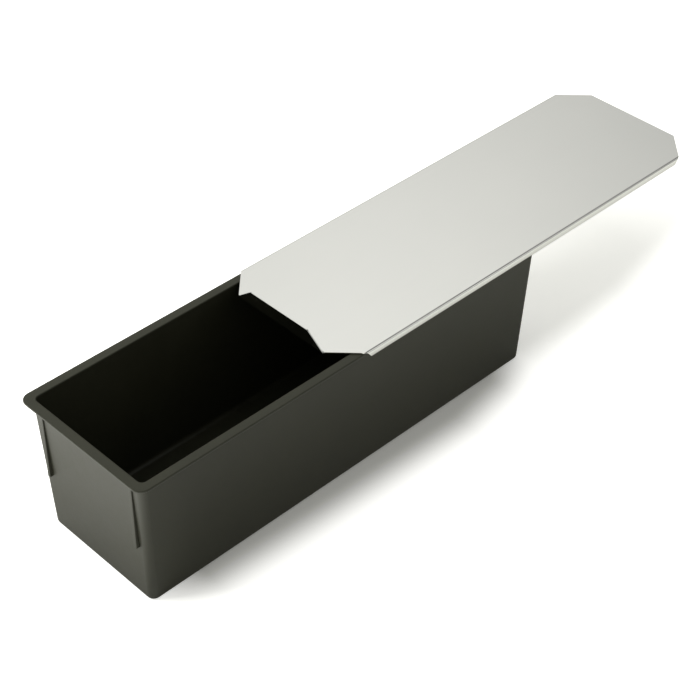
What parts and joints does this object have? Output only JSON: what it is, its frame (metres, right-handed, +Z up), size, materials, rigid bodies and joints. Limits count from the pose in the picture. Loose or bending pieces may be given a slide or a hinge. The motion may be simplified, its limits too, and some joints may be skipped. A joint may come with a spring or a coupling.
{
  "type": "pullman loaf pan",
  "caption": "Long straight-sided loaf pan with a flat rim, stacking ribs and a folded sheet lid that slides along the rim on turned-in edges.",
  "frame": {"origin": "middle of the pan's flat underside", "axes": "+X along the pan towards the end where the lid slides off, +Y across it, +Z up out of its mouth"},
  "size_m": [0.5848, 0.1332, 0.131],
  "materials": {
    "pan_composite": "fine satin, dark olive grey moulded composite",
    "lid_steel": "smooth satin stainless sheet"
  },
  "bodies": {
    "pan": {"pan": "pan_composite"},
    "lid": {"lid": "lid_steel"}
  },
  "joints": [
    {"name": "lid_slide", "type": "slide", "parent": "pan", "child": "lid", "axis": [1, 0, 0], "range_m": [-0.183, 0.221]}
  ]
}
